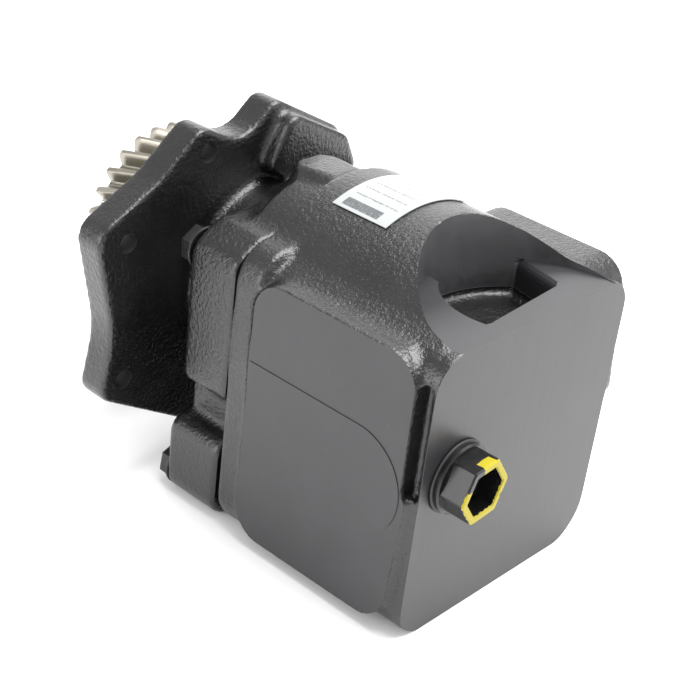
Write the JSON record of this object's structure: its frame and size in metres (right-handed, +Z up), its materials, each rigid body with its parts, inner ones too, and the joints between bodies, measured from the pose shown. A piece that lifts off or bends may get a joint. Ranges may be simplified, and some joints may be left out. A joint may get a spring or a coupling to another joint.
{
  "type": "axial piston pump",
  "caption": "Gear-driven variable axial piston pump: two bolted black castings, scalloped flange, helical drive gear and a full rotating group inside.",
  "frame": {"origin": "bottom centre of the whole pump, on the plane it stands on", "axes": "+Y along the shaft towards the drive gear, +Z up, -X the large machined side pad"},
  "size_m": [0.2217, 0.3012, 0.1996],
  "materials": {
    "casting_paint": "semi-gloss black paint over rough casting, satin on machined faces",
    "bolt_black": "semi-gloss black",
    "ground_steel": "ground and turned",
    "gear_steel": "hobbed and hardened, oil-dulled",
    "spring_steel": "dark drawn wire",
    "bronze": "bearing bronze",
    "seal_rubber": "matt",
    "plug_black": "gloss black, yellow check paint on the hex rim",
    "label_foil": "white printed foil"
  },
  "bodies": {
    "housing": {"rear_housing": "casting_paint", "front_housing": "casting_paint", "housing_bolt_1": "bolt_black", "housing_bolt_2": "bolt_black", "housing_bolt_3": "bolt_black", "housing_bolt_4": "bolt_black", "dowel_1": "ground_steel", "dowel_2": "ground_steel", "housing_seal": "seal_rubber", "rear_plug": "plug_black", "plug_seal": "seal_rubber", "name_label": "label_foil", "bearing_outer_ring": "ground_steel", "shaft_seal": "seal_rubber", "seal_circlip": "spring_steel", "rear_bushing": "bronze", "valve_plate": "bronze", "cradle_bearing_left": "bronze", "cradle_bearing_right": "bronze", "bias_spring": "spring_steel"},
    "rotor": {"drive_shaft": "ground_steel", "drive_gear": "gear_steel", "gear_key": "ground_steel", "gear_washer": "gear_steel", "gear_nut": "gear_steel", "bearing_inner_ring": "ground_steel", "cylinder_barrel": "ground_steel", "barrel_spring": "spring_steel", "ball_guide": "ground_steel"},
    "roller_cage": {"bearing_rollers": "ground_steel"},
    "swash": {"swash_plate": "ground_steel"},
    "retainer": {"retainer_plate": "ground_steel"},
    "spring_seat": {"bias_spring_seat": "ground_steel"},
    "control": {"control_piston": "ground_steel"},
    "shoe_1": {"slipper_1": "bronze"},
    "plunger_1": {"piston_1": "ground_steel"},
    "shoe_2": {"slipper_2": "bronze"},
    "plunger_2": {"piston_2": "ground_steel"},
    "shoe_3": {"slipper_3": "bronze"},
    "plunger_3": {"piston_3": "ground_steel"},
    "shoe_4": {"slipper_4": "bronze"},
    "plunger_4": {"piston_4": "ground_steel"},
    "shoe_5": {"slipper_5": "bronze"},
    "plunger_5": {"piston_5": "ground_steel"},
    "shoe_6": {"slipper_6": "bronze"},
    "plunger_6": {"piston_6": "ground_steel"},
    "shoe_7": {"slipper_7": "bronze"},
    "plunger_7": {"piston_7": "ground_steel"},
    "shoe_8": {"slipper_8": "bronze"},
    "plunger_8": {"piston_8": "ground_steel"},
    "shoe_9": {"slipper_9": "bronze"},
    "plunger_9": {"piston_9": "ground_steel"}
  },
  "joints": [
    {"name": "shaft_spin", "type": "hinge", "parent": "housing", "child": "rotor", "pos_m": [0.0014, 0, 0.1075], "axis": [0, 1, 0], "continuous": true},
    {"name": "cage_spin", "type": "hinge", "parent": "housing", "child": "roller_cage", "pos_m": [0.0014, 0.04715, 0.1075], "axis": [0, 1, 0], "continuous": true},
    {"name": "swash_tilt", "type": "hinge", "parent": "housing", "child": "swash", "pos_m": [0.0014, -0.00435, 0.1075], "axis": [1, 0, 0], "range_deg": [-14, 0], "stiffness_Nm_per_rad": 6, "springref_deg": 11.46},
    {"name": "retainer_spin", "type": "hinge", "parent": "swash", "child": "retainer", "pos_m": [0.0014, -0.00435, 0.1075], "axis": [0, 0.9703, 0.2419], "continuous": true},
    {"name": "spring_seat_slide", "type": "slide", "parent": "housing", "child": "spring_seat", "axis": [0, 1, 0], "range_m": [-0.0187, 0], "deforming": ["bias_spring"]},
    {"name": "control_slide", "type": "slide", "parent": "housing", "child": "control", "axis": [0, 1, 0], "range_m": [-0.0187, 0]},
    {"name": "shoe_1_turn", "type": "hinge", "parent": "retainer", "child": "shoe_1", "pos_m": [0.0014, -0.01209, 0.13855], "axis": [0, 0.9703, 0.2419], "continuous": true},
    {"name": "plunger_1_ball", "type": "hinge", "parent": "shoe_1", "child": "plunger_1", "pos_m": [0.0014, -0.01209, 0.13855], "axis": [1, 0, 0], "range_deg": [0, 14]},
    {"name": "shoe_2_turn", "type": "hinge", "parent": "retainer", "child": "shoe_2", "pos_m": [-0.01917, -0.01028, 0.13129], "axis": [0, 0.9703, 0.2419], "continuous": true},
    {"name": "plunger_2_ball", "type": "hinge", "parent": "shoe_2", "child": "plunger_2", "pos_m": [-0.01917, -0.01028, 0.13129], "axis": [1, 0, 0], "range_deg": [0, 14]},
    {"name": "shoe_3_turn", "type": "hinge", "parent": "retainer", "child": "shoe_3", "pos_m": [-0.03011, -0.00569, 0.11289], "axis": [0, 0.9703, 0.2419], "continuous": true},
    {"name": "plunger_3_ball", "type": "hinge", "parent": "shoe_3", "child": "plunger_3", "pos_m": [-0.03011, -0.00569, 0.11289], "axis": [1, 0, 0], "range_deg": [0, 14]},
    {"name": "shoe_4_turn", "type": "hinge", "parent": "retainer", "child": "shoe_4", "pos_m": [-0.02631, -0.00048, 0.09198], "axis": [0, 0.9703, 0.2419], "continuous": true},
    {"name": "plunger_4_ball", "type": "hinge", "parent": "shoe_4", "child": "plunger_4", "pos_m": [-0.02631, -0.00048, 0.09198], "axis": [1, 0, 0], "range_deg": [0, 14]},
    {"name": "shoe_5_turn", "type": "hinge", "parent": "retainer", "child": "shoe_5", "pos_m": [-0.00954, 0.00293, 0.07832], "axis": [0, 0.9703, 0.2419], "continuous": true},
    {"name": "plunger_5_ball", "type": "hinge", "parent": "shoe_5", "child": "plunger_5", "pos_m": [-0.00954, 0.00293, 0.07832], "axis": [1, 0, 0], "range_deg": [0, 14]},
    {"name": "shoe_6_turn", "type": "hinge", "parent": "retainer", "child": "shoe_6", "pos_m": [0.01235, 0.00293, 0.07832], "axis": [0, 0.9703, 0.2419], "continuous": true},
    {"name": "plunger_6_ball", "type": "hinge", "parent": "shoe_6", "child": "plunger_6", "pos_m": [0.01235, 0.00293, 0.07832], "axis": [1, 0, 0], "range_deg": [0, 14]},
    {"name": "shoe_7_turn", "type": "hinge", "parent": "retainer", "child": "shoe_7", "pos_m": [0.02911, -0.00048, 0.09198], "axis": [0, 0.9703, 0.2419], "continuous": true},
    {"name": "plunger_7_ball", "type": "hinge", "parent": "shoe_7", "child": "plunger_7", "pos_m": [0.02911, -0.00048, 0.09198], "axis": [1, 0, 0], "range_deg": [0, 14]},
    {"name": "shoe_8_turn", "type": "hinge", "parent": "retainer", "child": "shoe_8", "pos_m": [0.03291, -0.00569, 0.11289], "axis": [0, 0.9703, 0.2419], "continuous": true},
    {"name": "plunger_8_ball", "type": "hinge", "parent": "shoe_8", "child": "plunger_8", "pos_m": [0.03291, -0.00569, 0.11289], "axis": [1, 0, 0], "range_deg": [0, 14]},
    {"name": "shoe_9_turn", "type": "hinge", "parent": "retainer", "child": "shoe_9", "pos_m": [0.02197, -0.01028, 0.13129], "axis": [0, 0.9703, 0.2419], "continuous": true},
    {"name": "plunger_9_ball", "type": "hinge", "parent": "shoe_9", "child": "plunger_9", "pos_m": [0.02197, -0.01028, 0.13129], "axis": [1, 0, 0], "range_deg": [0, 14]}
  ],
  "couplings": [
    {"joint": "cage_spin", "follows": "shaft_spin", "ratio": 0.434},
    {"joint": "retainer_spin", "follows": "shaft_spin", "ratio": 1},
    {"joint": "spring_seat_slide", "follows": "swash_tilt", "m_per_rad": 0.07581},
    {"joint": "control_slide", "follows": "swash_tilt", "m_per_rad": 0.07581},
    {"joint": "shoe_1_turn", "follows": "shaft_spin", "ratio": -1},
    {"joint": "plunger_1_ball", "follows": "swash_tilt", "ratio": -1},
    {"joint": "shoe_2_turn", "follows": "shaft_spin", "ratio": -1},
    {"joint": "plunger_2_ball", "follows": "swash_tilt", "ratio": -1},
    {"joint": "shoe_3_turn", "follows": "shaft_spin", "ratio": -1},
    {"joint": "plunger_3_ball", "follows": "swash_tilt", "ratio": -1},
    {"joint": "shoe_4_turn", "follows": "shaft_spin", "ratio": -1},
    {"joint": "plunger_4_ball", "follows": "swash_tilt", "ratio": -1},
    {"joint": "shoe_5_turn", "follows": "shaft_spin", "ratio": -1},
    {"joint": "plunger_5_ball", "follows": "swash_tilt", "ratio": -1},
    {"joint": "shoe_6_turn", "follows": "shaft_spin", "ratio": -1},
    {"joint": "plunger_6_ball", "follows": "swash_tilt", "ratio": -1},
    {"joint": "shoe_7_turn", "follows": "shaft_spin", "ratio": -1},
    {"joint": "plunger_7_ball", "follows": "swash_tilt", "ratio": -1},
    {"joint": "shoe_8_turn", "follows": "shaft_spin", "ratio": -1},
    {"joint": "plunger_8_ball", "follows": "swash_tilt", "ratio": -1},
    {"joint": "shoe_9_turn", "follows": "shaft_spin", "ratio": -1},
    {"joint": "plunger_9_ball", "follows": "swash_tilt", "ratio": -1}
  ]
}
